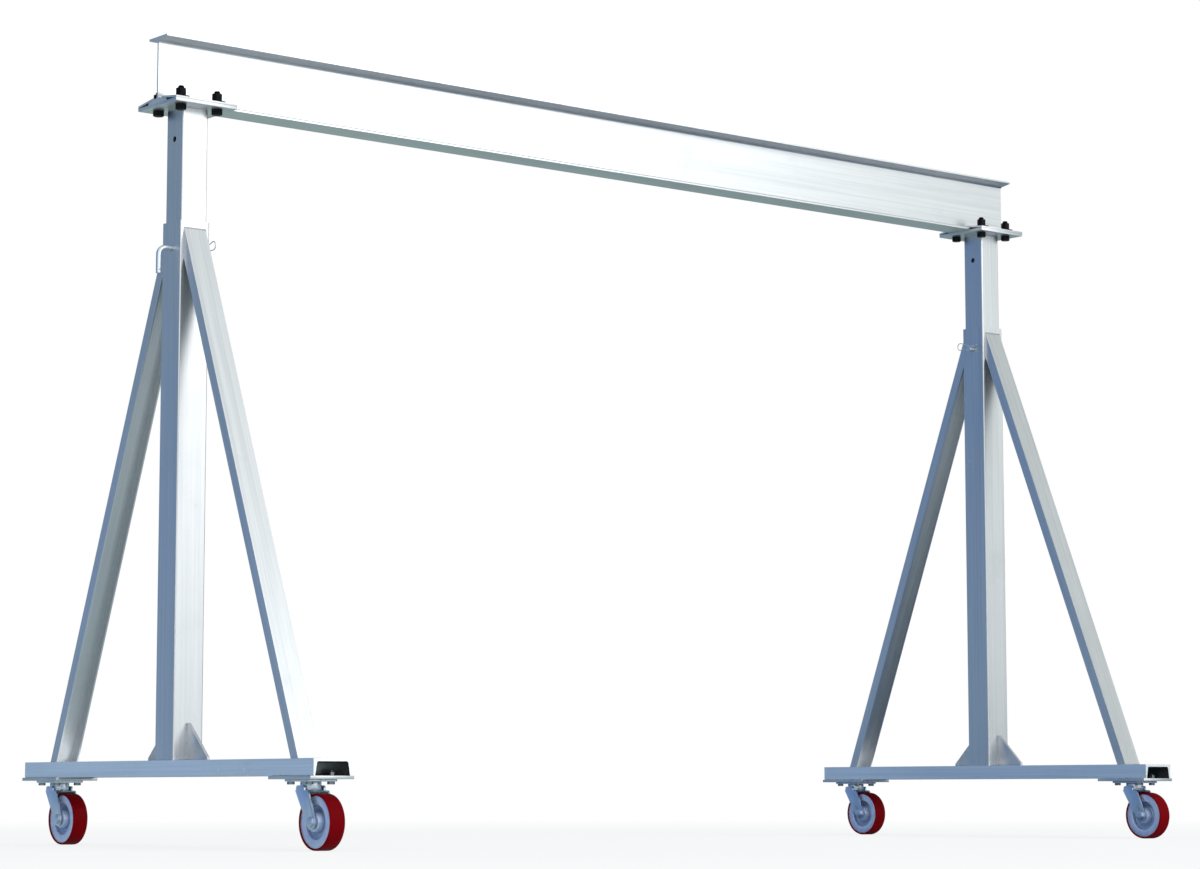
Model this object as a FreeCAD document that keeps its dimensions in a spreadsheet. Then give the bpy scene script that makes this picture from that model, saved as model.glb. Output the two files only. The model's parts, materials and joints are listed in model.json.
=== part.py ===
"""Adjustable-height aluminium gantry crane on swivel casters, as a parametric document.

Frame: millimetres, Z up, X along the beam, Y across it. The origin is on the floor, midway
between the two legs. Every size is a named cell of the sheet "sizes".
"""
import FreeCAD, Part
import math
import os
import Sketcher

V = FreeCAD.Vector
ALONG_X, ALONG_Y, ALONG_Z = V(1, 0, 0), V(0, 1, 0), V(0, 0, 1)
TOUCH = 1e-3                        # two sizes closer than this are the same place
doc = FreeCAD.newDocument("gantry_crane")

# ---------------------------------------------------------------- sizes

DRIVING = {
    # overall
    "beam_length": 3657.6,
    "mast_setback": 106.8,          # beam end to mast centre
    # swivel casters
    "caster_setback": 106.0,        # rail end to the swivel axis
    "wheel_diameter": 157.5,
    "wheel_width": 50.8,
    "tread_thickness": 5.5,
    "tread_round": 5.0,
    "wheel_rim_width": 44.0,
    "wheel_rim_bore": 100.0,        # diameter where the rim meets the recessed web
    "wheel_web": 14.0,
    "wheel_draft": 4.0,             # slope of the recess walls, taken off the radius
    "wheel_hub": 54.0,              # hub diameter
    "hub_length": 58.0,
    "axle_diameter": 19.0,
    "axle_running_fit": 0.08,
    "caster_trail": 55.0,           # swivel axis to axle, measured level
    "caster_plate_across": 100.0,
    "caster_plate_along": 124.0,
    "caster_plate_thick": 6.4,
    "caster_bolt_across": 72.0,
    "caster_bolt_along": 92.0,
    "caster_bolt": 12.7,
    "caster_bolt_clearance": 1.0,
    "caster_bolt_hex": 19.0,
    "caster_bolt_head": 8.0,
    "caster_nut": 11.0,
    "caster_bolt_tail": 4.0,
    "race_diameter": 59.0,
    "race_depth": 24.0,
    "swivel_gap": 0.3,
    "kingpin_diameter": 19.0,
    "kingpin_head_diameter": 27.0,
    "kingpin_head": 8.0,
    "fork_headroom": 3.6,           # wheel top to the yoke plate
    "fork_plate": 5.0,
    "fork_leg": 5.5,
    "fork_hub_gap": 2.0,
    "fork_ahead": 24.0,             # yoke edge beyond the swivel axis, away from the wheel
    "fork_behind": 38.0,            # yoke edge on the wheel's side
    "fork_end_round": 21.0,
    "ear_side": 20.0,               # half the length of the leg's ear beside the race
    "ear_height": 14.0,             # yoke top to the ear's top
    "ear_round": 8.0,
    "axle_hex": 27.0,
    "axle_head": 9.0,
    # base rails: rolled channel, web up
    "rail_length": 1600.0,
    "rail_width": 127.0,
    "rail_height": 47.9,
    "rail_web": 8.3,
    "rail_toe": 5.2,                # flange thickness at its free edge
    "rail_round": 6.0,
    "mount_length": 210.0,
    "mount_width": 146.0,
    "mount_thick": 9.5,
    # masts: square tube in square tube
    "lower_mast": 101.6,
    "lower_wall": 4.8,
    "lower_length": 1607.0,
    "mast_clearance": 1.55,         # all round, between sleeve and inner mast
    "upper_wall": 6.35,
    "upper_length": 1372.0,
    "tube_round": 4.8,
    "pin_below_rim": 80.0,          # sleeve rim to the height pin
    "hole_below_head": 93.0,        # head plate to the first pin hole
    "hole_pitch": 333.0,
    "hole_count": 4.0,
    "pin_position": 1.0,            # which hole the pin sits in, counted from the top hole as 0
    "pin_hole": 17.5,
    "pin_rod": 15.9,
    "pin_stub": 24.0,               # rod end beyond the inner face of the mast
    "pin_reach": 43.0,              # mast face to the hanging handle
    "pin_bend": 24.0,
    "pin_handle": 80.0,             # pin axis to the handle's lower end
    "tether_hole": 4.0,
    "tether_hole_up": 10.0,         # handle's lower end to the small cross hole
    "clip_wire": 2.8,
    "clip_hole": 3.4,
    "clip_inset": 9.0,              # pin tip to the clip's cross hole
    "clip_loop": 29.0,
    "clip_loop_out": 49.0,          # pin axis to the middle of the clip's loop
    "clip_leg": 34.0,
    "clip_flare": 12.0,
    "clip_clearance": 0.3,
    # braces: small channel, web outward
    "brace_width": 76.2,
    "brace_depth": 34.2,
    "brace_web": 4.4,
    "brace_flange": 5.0,
    "brace_below_rim": 22.0,        # sleeve rim to the brace's upper end
    "brace_foot": 686.0,            # mast centre to the outer edge of the brace's foot
    "gusset_height": 110.0,
    "gusset_foot": 113.0,
    "gusset_nose": 8.0,
    "gusset_thick": 9.5,
    # head plate, clamp bars and beam
    "head_edge": 44.45,             # bolt to the head plate's edge
    "head_thick": 9.5,
    "beam_depth": 203.2,
    "beam_flange": 101.6,
    "beam_web": 6.9,
    "beam_toe": 6.9,                # flange thickness at its free edge
    "flange_slope": 6.0,            # flange grows by 1 in this many, towards the web
    "beam_round": 8.0,
    "beam_toe_round": 3.0,
    "clamp_thick": 6.4,
    "clamp_inset": 24.0,            # beam centre to the clamp bar's inner edge
    "bolt_off_flange": 12.7,        # flange edge to bolt
    "bolt_off_mast": 12.7,          # least distance from the inner mast's side to bolt
    "bolt_diameter": 19.05,
    "bolt_clearance": 1.6,
    "bolt_hex": 28.6,
    "bolt_head": 16.0,
    "bolt_nut": 23.0,
    "bolt_tail": 8.0,
    "washer_side": 38.0,
    "washer_thin": 1.6,             # thin edge of the bevelled washer
}

DERIVED = {
    "none": "0",
    # heights, from the floor up
    "axle_height": "=wheel_diameter / 2",
    "yoke_base": "=wheel_diameter + fork_headroom",
    "yoke_top": "=yoke_base + fork_plate",
    "ear_top": "=yoke_top + ear_height",
    "race_base": "=yoke_top + swivel_gap",
    "swivel_z": "=race_base + race_depth",
    "mount_base": "=swivel_z + caster_plate_thick",
    "rail_base": "=mount_base + mount_thick",
    "rail_top": "=rail_base + rail_height",
    "lower_rim": "=rail_top + lower_length",
    "pin_height": "=lower_rim - pin_below_rim",
    "head_base": "=pin_height + pin_position * hole_pitch + hole_below_head",
    "upper_base": "=head_base - upper_length",
    "top_hole_height": "=head_base - hole_below_head",
    "head_top": "=head_base + head_thick",
    "beam_top": "=head_top + beam_depth",
    # plan places
    "mast_place": "=beam_length / 2 - mast_setback",
    "half_rail": "=rail_length / 2",
    "swivel_place": "=half_rail - caster_setback",
    # rail section, about its own centre line
    "rail_side": "=rail_width / 2",
    "rail_flange_root": "=rail_toe + (rail_height - rail_web) / flange_slope",
    "rail_inner_root": "=rail_side - rail_flange_root",
    "rail_inner_toe": "=rail_side - rail_toe",
    "rail_under_web": "=rail_top - rail_web",
    # masts
    "lower_side": "=lower_mast / 2",
    "lower_bore_side": "=lower_side - lower_wall",
    "upper_side": "=lower_bore_side - mast_clearance",
    "upper_bore_side": "=upper_side - upper_wall",
    # brace outline: outer line from the mast face down to the rail
    "brace_top": "=lower_rim - brace_below_rim",
    "brace_run": "=brace_foot - lower_side",
    "brace_rise": "=brace_top - rail_top",
    "brace_slant": "=sqrt(brace_run * brace_run + brace_rise * brace_rise)",
    "brace_level_depth": "=brace_depth * brace_slant / brace_rise",
    "brace_drop_depth": "=brace_depth * brace_slant / brace_run",
    "brace_web_level": "=brace_web * brace_slant / brace_rise",
    "brace_web_drop": "=brace_web * brace_slant / brace_run",
    "brace_foot_inner": "=brace_foot - brace_level_depth",
    "brace_top_inner": "=brace_top - brace_drop_depth",
    "brace_hollow_foot": "=brace_foot - brace_web_level",
    "brace_hollow_top": "=brace_top - brace_web_drop",
    "brace_bore": "=brace_width - 2 * brace_flange",
    # gusset
    "gusset_out": "=lower_side + gusset_foot",
    "gusset_top": "=rail_top + gusset_height",
    "gusset_nose_top": "=rail_top + gusset_nose",
    "gusset_nose_out": "=lower_side + gusset_nose",
    # beam section
    "beam_side": "=beam_flange / 2",
    "web_side": "=beam_web / 2",
    "flange_growth": "=(beam_side - web_side) / flange_slope",
    "low_toe": "=head_top + beam_toe",
    "low_root": "=low_toe + flange_growth",
    "high_toe": "=beam_top - beam_toe",
    "high_root": "=high_toe - flange_growth",
    # head plate, and the clamp bar from the plate's edge up onto the flange
    "bolt_place": "=max(beam_side + bolt_off_flange; upper_side + bolt_off_mast)",
    "head_side": "=bolt_place + head_edge",
    "clamp_length": "=2 * head_side",
    "clamp_seat": "=low_toe + (beam_side - clamp_inset) / flange_slope",
    "clamp_run": "=head_side - clamp_inset",
    "clamp_rise": "=clamp_seat - head_top",
    "clamp_slant": "=sqrt(clamp_run * clamp_run + clamp_rise * clamp_rise)",
    "clamp_shift": "=clamp_thick * clamp_rise / clamp_slant",
    "clamp_lift": "=clamp_thick * clamp_run / clamp_slant",
    "clamp_outer_top": "=head_top + clamp_lift",
    "clamp_outer_shift": "=head_side + clamp_shift",
    "clamp_inner_top": "=clamp_seat + clamp_lift",
    "clamp_inner_shift": "=clamp_inset + clamp_shift",
    # casters
    "fork_inside": "=hub_length / 2 + fork_hub_gap",
    "fork_outside": "=fork_inside + fork_leg",
    "fork_width": "=2 * fork_outside",
    "kingpin_base": "=yoke_base - swivel_gap - kingpin_head",
    "kingpin_length": "=swivel_z - kingpin_base",
    "core_radius": "=wheel_diameter / 2 - tread_thickness",
    "tread_radius": "=wheel_diameter / 2",
    "tread_side": "=wheel_width / 2",
    "rim_side": "=wheel_rim_width / 2",
    "rim_bore_face": "=wheel_rim_bore / 2",
    "rim_bore_web": "=rim_bore_face - wheel_draft",
    "web_face": "=wheel_web / 2",
    "hub_face": "=hub_length / 2",
    "hub_radius": "=wheel_hub / 2",
    "hub_root": "=hub_radius + wheel_draft",
    "bore_radius": "=axle_diameter / 2 + axle_running_fit",
    "axle_hole": "=axle_diameter + 2 * axle_running_fit",
    "kingpin_hole": "=kingpin_diameter + 2 * axle_running_fit",
    "caster_bolt_x": "=caster_bolt_across / 2",
    "caster_bolt_y": "=caster_bolt_along / 2",
    "plate_x": "=caster_plate_across / 2",
    "plate_y": "=caster_plate_along / 2",
    "mount_x": "=mount_width / 2",
    "mount_y": "=mount_length / 2",
    # bolts through the head plate and clamp bars
    "washer_inner": "=bolt_place - washer_side / 2",
    "washer_outer": "=bolt_place + washer_side / 2",
    "washer_inner_seat": "=clamp_outer_top + (clamp_outer_shift - washer_inner) * clamp_rise / clamp_run",
    "washer_outer_seat": "=clamp_outer_top + (clamp_outer_shift - washer_outer) * clamp_rise / clamp_run",
    "washer_top": "=washer_inner_seat + washer_thin",
}

sheet = doc.addObject("Spreadsheet::Sheet", "sizes")
for row, (alias, content) in enumerate([*DRIVING.items(), *DERIVED.items()], start=1):
    sheet.set(f"A{row}", alias)
    sheet.set(f"B{row}", str(content))
    sheet.setAlias(f"B{row}", alias)
doc.recompute()


def size(alias):
    """Value of a named size; a leading minus turns its sign."""
    return -size(alias[1:]) if alias.startswith("-") else float(sheet.get(alias))


def cell(alias):
    """The same named size as an expression."""
    return "-sizes." + alias[1:] if alias.startswith("-") else "sizes." + alias


# ---------------------------------------------------------------- modelling helpers

parts = []


def keep(piece):
    """Marks an object as one of the crane's pieces."""
    parts.append(piece)
    return piece


def new_body(label):
    body = doc.addObject("PartDesign::Body", label)
    body.Label = label
    return body


def place(piece, along="none", across="none", up="none"):
    for axis, alias in zip("xyz", (along, across, up)):
        piece.setExpression(f"Placement.Base.{axis}", cell(alias))


def new_sketch(body, plane, name, offset=None):
    sketch = body.newObject("Sketcher::SketchObject", f"{body.Name}_{name}")
    support = next(f for f in body.Origin.OriginFeatures if f.Role == plane)
    sketch.AttachmentSupport = [(support, "")]
    sketch.MapMode = "FlatFace"
    if offset:
        sketch.setExpression("AttachmentOffset.Base.z", cell(offset))
    return sketch


def fix_point(sketch, geometry, vertex, across, up):
    """Ties one sketch point to two named sizes measured from the sketch origin."""
    for kind, axis, alias in (("DistanceX", -2, across), ("DistanceY", -1, up)):
        if size(alias) == 0:
            sketch.addConstraint(Sketcher.Constraint("PointOnObject", geometry, vertex, axis))
            continue
        name = alias.lstrip("-")
        ends = (-1, 1, geometry, vertex)
        if alias.startswith("-"):
            ends = (geometry, vertex, -1, 1)
        number = sketch.addConstraint(Sketcher.Constraint(kind, *ends, size(name)))
        sketch.setExpression(f"Constraints[{number}]", cell(name))


def outline(sketch, corners):
    """Closed straight-sided outline through corners given as pairs of named sizes."""
    first = sketch.GeometryCount
    points = [V(size(a), size(b), 0) for a, b in corners]
    count = len(points)
    for i, point in enumerate(points):
        sketch.addGeometry(Part.LineSegment(point, points[(i + 1) % count]), False)
    for i in range(count):
        following = first + (i + 1) % count
        sketch.addConstraint(Sketcher.Constraint("Coincident", first + i, 2, following, 1))
    for i, (across, up) in enumerate(corners):
        fix_point(sketch, first + i, 1, across, up)


def corners_of(half_x, half_y):
    """The four corners of a rectangle about the origin, in turning order."""
    return [("-" + half_x, "-" + half_y), (half_x, "-" + half_y), (half_x, half_y), ("-" + half_x, half_y)]


def rectangle(sketch, half_x, half_y):
    outline(sketch, corners_of(half_x, half_y))


def circle(sketch, across, up, diameter, extra=None):
    """Circle at a named place; its diameter is one size, or the sum of two."""
    total = size(diameter) + (size(extra) if extra else 0)
    middle = V(size(across), size(up), 0)
    ring = sketch.addGeometry(Part.Circle(middle, V(0, 0, 1), total / 2), False)
    fix_point(sketch, ring, 3, across, up)
    number = sketch.addConstraint(Sketcher.Constraint("Diameter", ring, total))
    formula = cell(diameter) + (" + " + cell(extra) if extra else "")
    sketch.setExpression(f"Constraints[{number}]", formula)


def pad(body, sketch, length, symmetric=False):
    feature = body.newObject("PartDesign::Pad", sketch.Name + "_pad")
    feature.Profile = sketch
    feature.SideType = "Symmetric" if symmetric else "One side"
    feature.setExpression("Length", cell(length))
    sketch.Visibility = False
    doc.recompute()
    return feature


def cut(body, sketch, length=None):
    """Pocket through the whole body, or of a length centred on the sketch."""
    before = body.Shape.Volume
    feature = body.newObject("PartDesign::Pocket", sketch.Name + "_cut")
    feature.Profile = sketch
    feature.SideType = "Symmetric"
    if length:
        feature.setExpression("Length", cell(length))
    else:
        feature.Type = "ThroughAll"
    doc.recompute()
    if body.Shape.Volume >= before:
        raise ValueError(f"{feature.Name} removes nothing")
    return feature


def revolve(body, sketch):
    """Turns a section about the sketch's level axis."""
    feature = body.newObject("PartDesign::Revolution", sketch.Name + "_turned")
    feature.Profile = sketch
    feature.ReferenceAxis = (sketch, ["H_Axis"])
    feature.Angle = 360.0
    doc.recompute()
    return feature


def round_edges(body, radius, chosen):
    """Fillets the straight edges of the tip that the test picks by their middle point."""
    tip = body.Tip
    names = [f"Edge{i}" for i, edge in enumerate(tip.Shape.Edges, start=1)
             if isinstance(edge.Curve, Part.Line)
             and chosen(edge.CenterOfMass, edge.tangentAt(edge.FirstParameter))]
    feature = body.newObject("PartDesign::Fillet", tip.Name + "_round")
    feature.Base = (tip, names)
    feature.setExpression("Radius", cell(radius))
    doc.recompute()
    return feature


def lies_along(direction, axis):
    return abs(abs(direction.dot(axis)) - 1) < TOUCH


def near(value, alias):
    return abs(abs(value) - abs(size(alias))) < TOUCH


def solid(kind, label, **sizes):
    """Part primitive whose properties follow expressions."""
    piece = doc.addObject(kind, label)
    for name, formula in sizes.items():
        piece.setExpression(name, formula)
    return piece


def set_down(piece, x="0", y="0", z="0"):
    for axis, formula in zip("xyz", (x, y, z)):
        piece.setExpression(f"Placement.Base.{axis}", formula)
    return piece


def turn(piece, axis, degrees):
    piece.Placement = FreeCAD.Placement(V(0, 0, 0), FreeCAD.Rotation(axis, degrees))
    return piece


def fuse(label, pieces):
    whole = doc.addObject("Part::MultiFuse", label)
    whole.Shapes = pieces
    whole.Refine = True
    return whole


def group(label, pieces):
    """One part made of pieces that do not touch."""
    whole = doc.addObject("Part::Compound", label)
    whole.Links = pieces
    return keep(whole)


def rod_between(start, end, radius):
    way = end.sub(start)
    return Part.makeCylinder(radius, way.Length, start, way)


def face_outward(piece, side):
    """Sets a pin-height piece on its mast; on the left mast it is turned half round."""
    if side == "left":
        turn(piece, ALONG_Z, 180)
    place(piece, SIDES[side], "none", "pin_height")


SIDES = {"left": "-mast_place", "right": "mast_place"}
ENDS = {"front": "-swivel_place", "rear": "swivel_place"}


# ---------------------------------------------------------------- base frames

def base_rail(side):
    """Rolled channel lying web up, with tapered flanges and open ends."""
    body = keep(new_body(f"{side}_base_rail"))
    sketch = new_sketch(body, "XZ_Plane", "section")
    outline(sketch, [
        ("-rail_side", "rail_base"), ("-rail_inner_toe", "rail_base"),
        ("-rail_inner_root", "rail_under_web"), ("rail_inner_root", "rail_under_web"),
        ("rail_inner_toe", "rail_base"), ("rail_side", "rail_base"),
        ("rail_side", "rail_top"), ("-rail_side", "rail_top"),
    ])
    pad(body, sketch, "rail_length", symmetric=True)
    round_edges(body, "rail_round", lambda middle, way: (
        lies_along(way, ALONG_Y) and near(middle.x, "rail_inner_root")))
    place(body, SIDES[side])


def drilled_plate(label, half_x, half_y, thick, underside, bolt, clearance, bolt_x, bolt_y):
    """Flat plate with a bolt hole near each corner."""
    body = new_body(label)
    sketch = new_sketch(body, "XY_Plane", "plan", underside)
    rectangle(sketch, half_x, half_y)
    for across, along in corners_of(bolt_x, bolt_y):
        circle(sketch, across, along, bolt, clearance)
    pad(body, sketch, thick)
    return body


def caster_mounts(side):
    """Flat plates welded under both ends of a base rail."""
    plates = []
    for end, across in ENDS.items():
        plate = drilled_plate(f"{side}_{end}_mount", "mount_x", "mount_y", "mount_thick", "mount_base",
                              "caster_bolt", "caster_bolt_clearance", "caster_bolt_x", "caster_bolt_y")
        place(plate, SIDES[side], across)
        plates.append(plate)
    group(f"{side}_caster_mounts", plates)


def mast_tube(label, outside, inside, length, foot):
    """Square tube with rounded corners, standing at the body's origin."""
    body = keep(new_body(label))
    section = new_sketch(body, "XY_Plane", "section", foot)
    rectangle(section, outside, outside)
    pad(body, section, length)
    round_edges(body, "tube_round", lambda middle, way: lies_along(way, ALONG_Z))
    bore = new_sketch(body, "XY_Plane", "bore", foot)
    rectangle(bore, inside, inside)
    cut(body, bore)
    return body


def lower_mast(side):
    """Sleeve standing on the rail, with the height pin's hole through it."""
    body = mast_tube(f"{side}_lower_mast", "lower_side", "lower_bore_side", "lower_length", "rail_top")
    hole = new_sketch(body, "YZ_Plane", "pin_hole")
    circle(hole, "none", "pin_height", "pin_hole")
    cut(body, hole)
    place(body, SIDES[side])


def upper_mast(side):
    """Inner mast, with a row of pin holes from its head down."""
    body = mast_tube(f"{side}_upper_mast", "upper_side", "upper_bore_side", "upper_length", "upper_base")
    hole = new_sketch(body, "YZ_Plane", "top_hole")
    circle(hole, "none", "top_hole_height", "pin_hole")
    first = cut(body, hole)
    row = body.newObject("PartDesign::LinearPattern", f"{body.Name}_hole_row")
    row.Originals = [first]
    row.Direction = (hole, ["V_Axis"])
    row.Reversed = True
    row.setExpression("Length", "sizes.hole_pitch * (sizes.hole_count - 1)")
    row.setExpression("Occurrences", "sizes.hole_count")
    body.Tip = row
    doc.recompute()
    place(body, SIDES[side])


def brace(side, end):
    """Channel from the sleeve down to the rail, web outward, cut flat at both ends."""
    sign = "-" if end == "front" else ""
    body = keep(new_body(f"{side}_{end}_brace"))
    sketch = new_sketch(body, "YZ_Plane", "side")
    outline(sketch, [
        (sign + "brace_foot_inner", "rail_top"), (sign + "brace_foot", "rail_top"),
        (sign + "lower_side", "brace_top"), (sign + "lower_side", "brace_top_inner"),
    ])
    pad(body, sketch, "brace_width", symmetric=True)
    hollow = new_sketch(body, "YZ_Plane", "hollow")
    outline(hollow, [
        (sign + "brace_foot_inner", "rail_top"), (sign + "brace_hollow_foot", "rail_top"),
        (sign + "lower_side", "brace_hollow_top"), (sign + "lower_side", "brace_top_inner"),
    ])
    cut(body, hollow, "brace_bore")
    place(body, SIDES[side])


def gussets(side):
    """Triangular plates in the corners between mast foot and rail, front and rear."""
    plates = []
    for end, sign in (("front", "-"), ("rear", "")):
        body = new_body(f"{side}_{end}_gusset")
        sketch = new_sketch(body, "YZ_Plane", "side")
        outline(sketch, [
            (sign + "lower_side", "rail_top"), (sign + "gusset_out", "rail_top"),
            (sign + "gusset_out", "gusset_nose_top"), (sign + "gusset_nose_out", "gusset_top"),
            (sign + "lower_side", "gusset_top"),
        ])
        pad(body, sketch, "gusset_thick", symmetric=True)
        place(body, SIDES[side])
        plates.append(body)
    group(f"{side}_gussets", plates)


# ---------------------------------------------------------------- height pins

def height_pin(side):
    """Bent rod through sleeve and inner mast; its handle hangs on the outer face."""
    rod = solid("Part::Cylinder", f"{side}_pin_rod", Radius="sizes.pin_rod / 2",
                Height="2 * sizes.lower_side + sizes.pin_stub + sizes.pin_reach - sizes.pin_bend")
    turn(rod, ALONG_Y, 90)
    set_down(rod, "-sizes.lower_side - sizes.pin_stub")
    bend = solid("Part::Torus", f"{side}_pin_bend", Radius1="sizes.pin_bend", Radius2="sizes.pin_rod / 2")
    bend.Angle3 = 90
    turn(bend, ALONG_X, 90)
    set_down(bend, "sizes.lower_side + sizes.pin_reach - sizes.pin_bend", "0", "-sizes.pin_bend")
    handle = solid("Part::Cylinder", f"{side}_pin_handle", Radius="sizes.pin_rod / 2",
                   Height="sizes.pin_handle - sizes.pin_bend")
    set_down(handle, "sizes.lower_side + sizes.pin_reach", "0", "-sizes.pin_handle")
    bent_rod = fuse(f"{side}_bent_rod", [rod, bend, handle])
    clip_hole = solid("Part::Cylinder", f"{side}_clip_hole", Radius="sizes.clip_hole / 2",
                      Height="2 * sizes.pin_rod")
    turn(clip_hole, ALONG_X, -90)
    set_down(clip_hole, "sizes.clip_inset - sizes.lower_side - sizes.pin_stub", "-sizes.pin_rod")
    tether_hole = solid("Part::Cylinder", f"{side}_tether_hole", Radius="sizes.tether_hole / 2",
                        Height="2 * sizes.pin_rod")
    turn(tether_hole, ALONG_X, -90)
    set_down(tether_hole, "sizes.lower_side + sizes.pin_reach", "-sizes.pin_rod",
             "sizes.tether_hole_up - sizes.pin_handle")
    drilled = bent_rod
    for number, drill in enumerate((clip_hole, tether_hole), start=1):
        drilling = doc.addObject("Part::Cut", f"{side}_pin_drilling_{number}")
        drilling.Base = drilled
        drilling.Tool = drill
        drilled = drilling
    drilled.Label = f"{side}_height_pin"
    face_outward(keep(drilled), side)


def pin_clip(side):
    """Hairpin clip: a straight leg through the pin, a round loop and a leg over the pin."""
    wire = size("clip_wire") / 2
    loop = size("clip_loop") / 2 - wire
    x = size("clip_inset") - size("lower_side") - size("pin_stub")
    over = size("pin_rod") / 2 + wire + size("clip_clearance")
    middle = V(x, size("clip_loop_out"), loop)
    crest = V(x, 0, over)
    tail = V(x, -size("clip_leg"), size("clip_flare"))
    # the loop is left where the line from the crest just touches it
    reach = crest.sub(middle)
    open_half = math.degrees(math.acos(loop / reach.Length))
    leave = math.degrees(math.atan2(reach.z, reach.y)) + 360 - open_half
    joint = middle.add(V(0, loop * math.cos(math.radians(leave)), loop * math.sin(math.radians(leave))))
    ring = Part.makeTorus(loop, wire, V(0, 0, 0), ALONG_Z, -180, 180, leave + 90)
    # the ring starts at the straight leg, lowest on the loop, and turns away from the pin
    upright = FreeCAD.Rotation(V(0, 1, 0), V(0, 0, 1), V(1, 0, 0), "ZXY")
    spin = FreeCAD.Rotation(ALONG_Z, -90)
    ring.Placement = FreeCAD.Placement(middle, upright.multiply(spin))
    pieces = [
        rod_between(V(x, -size("clip_leg"), 0), V(x, size("clip_loop_out"), 0), wire),
        ring,
        rod_between(joint, crest, wire),
        Part.makeSphere(wire, crest),
        rod_between(crest, tail, wire),
    ]
    clip = doc.addObject("Part::Feature", f"{side}_pin_clip")
    clip.Shape = pieces[0].multiFuse(pieces[1:])
    face_outward(keep(clip), side)


# ---------------------------------------------------------------- head and beam

def head_plate(side):
    """Square plate on the inner mast that carries the beam."""
    plate = drilled_plate(f"{side}_head_plate", "head_side", "head_side", "head_thick", "head_base",
                          "bolt_diameter", "bolt_clearance", "bolt_place", "bolt_place")
    place(keep(plate), SIDES[side])


def beam():
    """Rolled I-beam with tapered flanges, open at both ends."""
    body = keep(new_body("beam"))
    sketch = new_sketch(body, "YZ_Plane", "section")
    right_half = [
        ("beam_side", "head_top"), ("beam_side", "low_toe"), ("web_side", "low_root"),
        ("web_side", "high_root"), ("beam_side", "high_toe"), ("beam_side", "beam_top"),
    ]
    left_half = [("-" + across, up) for across, up in reversed(right_half)]
    outline(sketch, right_half + left_half)
    pad(body, sketch, "beam_length", symmetric=True)
    round_edges(body, "beam_round", lambda middle, way: (
        lies_along(way, ALONG_X) and near(middle.y, "web_side")))
    round_edges(body, "beam_toe_round", lambda middle, way: (
        lies_along(way, ALONG_X) and near(middle.y, "beam_side")
        and (abs(middle.z - size("low_toe")) < TOUCH or abs(middle.z - size("high_toe")) < TOUCH)))


def clamp_bars(side):
    """Two flat bars that press the lower flange down, leaning from plate edge to flange."""
    bars = []
    for end, sign in (("front", "-"), ("rear", "")):
        body = new_body(f"{side}_{end}_clamp_bar")
        sketch = new_sketch(body, "YZ_Plane", "section")
        outline(sketch, [
            (sign + "head_side", "head_top"), (sign + "clamp_outer_shift", "clamp_outer_top"),
            (sign + "clamp_inner_shift", "clamp_inner_top"), (sign + "clamp_inset", "clamp_seat"),
        ])
        pad(body, sketch, "clamp_length", symmetric=True)
        holes = new_sketch(body, "XY_Plane", "holes")
        for across in ("-bolt_place", "bolt_place"):
            circle(holes, across, sign + "bolt_place", "bolt_diameter", "bolt_clearance")
        cut(body, holes)
        place(body, SIDES[side])
        bars.append(body)
    group(f"{side}_clamp_bars", bars)


def hexagon(label, flats, thick, x, y, z):
    """Hexagonal head or nut standing upright."""
    prism = solid("Part::Prism", label, Circumradius=f"{flats} / sqrt(3)", Height=thick)
    prism.Polygon = 6
    return set_down(prism, x, y, z)


def bolt(label, diameter, flats, head, nut, tail, x, y, head_seat, nut_seat):
    """Upright bolt with its head below, its nut above and its end beyond the nut."""
    pieces = [
        hexagon(f"{label}_head", flats, head, x, y, f"{head_seat} - {head}"),
        hexagon(f"{label}_nut", flats, nut, x, y, nut_seat),
        set_down(solid("Part::Cylinder", f"{label}_shank", Radius=f"{diameter} / 2",
                       Height=f"{nut_seat} + {nut} + {tail} - {head_seat} + {head}"),
                 x, y, f"{head_seat} - {head}"),
    ]
    return pieces


def beam_bolts(side):
    """Four bolts through head plate and clamp bars, each with a bevelled square washer."""
    bolts = []
    for across, along in corners_of("bolt_place", "bolt_place"):
        label = f"{side}_beam_bolt_{len(bolts) + 1}"
        sign = "-" if along.startswith("-") else ""
        washer = new_body(f"{label}_washer")
        sketch = new_sketch(washer, "YZ_Plane", "section")
        outline(sketch, [
            (sign + "washer_outer", "washer_outer_seat"), (sign + "washer_outer", "washer_top"),
            (sign + "washer_inner", "washer_top"), (sign + "washer_inner", "washer_inner_seat"),
        ])
        pad(washer, sketch, "washer_side", symmetric=True)
        x = f"{cell(SIDES[side])} + {cell(across)}"
        washer.setExpression("Placement.Base.x", x)
        pieces = bolt(label, "sizes.bolt_diameter", "sizes.bolt_hex", "sizes.bolt_head", "sizes.bolt_nut",
                      "sizes.bolt_tail", x, cell(along), "sizes.head_base", "sizes.washer_top")
        bolts.append(fuse(label, [washer] + pieces))
    group(f"{side}_beam_bolts", bolts)


# ---------------------------------------------------------------- casters

def caster_plate(side, end):
    """Top plate with the fixed swivel race under it, and the kingpin with its round head."""
    body = drilled_plate(f"{side}_{end}_caster_plate", "plate_x", "plate_y", "caster_plate_thick",
                         "swivel_z", "caster_bolt", "caster_bolt_clearance",
                         "caster_bolt_x", "caster_bolt_y")
    race = new_sketch(body, "XY_Plane", "race", "race_base")
    circle(race, "none", "none", "race_diameter")
    pad(body, race, "race_depth")
    kingpin = new_sketch(body, "XY_Plane", "kingpin", "kingpin_base")
    circle(kingpin, "none", "none", "kingpin_diameter")
    pad(body, kingpin, "kingpin_length")
    head = new_sketch(body, "XY_Plane", "kingpin_head", "kingpin_base")
    circle(head, "none", "none", "kingpin_head_diameter")
    pad(body, head, "kingpin_head")
    place(keep(body), SIDES[side], ENDS[end])


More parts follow.
